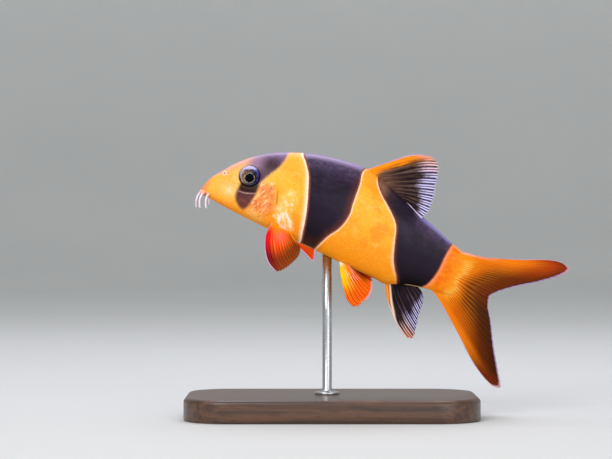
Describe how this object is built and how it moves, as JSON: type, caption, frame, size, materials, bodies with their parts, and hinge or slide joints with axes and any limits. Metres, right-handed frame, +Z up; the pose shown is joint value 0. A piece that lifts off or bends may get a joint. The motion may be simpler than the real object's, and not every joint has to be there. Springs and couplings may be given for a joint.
{
  "type": "clown loach",
  "caption": "Life-size still model of a clown loach swimming head-up, with spread fins, forked tail and barbels, held by one rod on a flat display base.",
  "frame": {"origin": "centre of the display base's underside", "axes": "+Z up, the head points to -X, the left flank faces -Y"},
  "size_m": [0.1036, 0.046, 0.0707],
  "materials": {
    "orange_skin": "moist orange fish skin",
    "banded_skin": "moist skin with broad purple-black bands",
    "eye": "glossy, dark iris with gold flecks",
    "dark_fin": "dark rayed membrane with a pale margin",
    "orange_fin": "orange-red rayed membrane",
    "red_fin": "red rayed membrane",
    "barbel": "pale pinkish white",
    "base": "dark satin hardwood",
    "rod": "satin steel"
  },
  "bodies": {
    "root": {"head": "orange_skin", "torso": "banded_skin", "tail_stem": "orange_skin", "eye_left": "eye", "eye_right": "eye", "dorsal_fin": "dark_fin", "anal_fin": "dark_fin", "caudal_fin_upper": "orange_fin", "caudal_fin_lower": "orange_fin", "pectoral_fin_left": "red_fin", "pectoral_fin_right": "red_fin", "pelvic_fin_left": "red_fin", "pelvic_fin_right": "red_fin", "barbel_rostral_inner_left": "barbel", "barbel_rostral_inner_right": "barbel", "barbel_rostral_outer_left": "barbel", "barbel_rostral_outer_right": "barbel", "barbel_maxillary_left": "barbel", "barbel_maxillary_right": "barbel", "barbel_mandibular_left": "barbel", "barbel_mandibular_right": "barbel", "stand_base": "base", "stand_rod": "rod"}
  },
  "joints": []
}
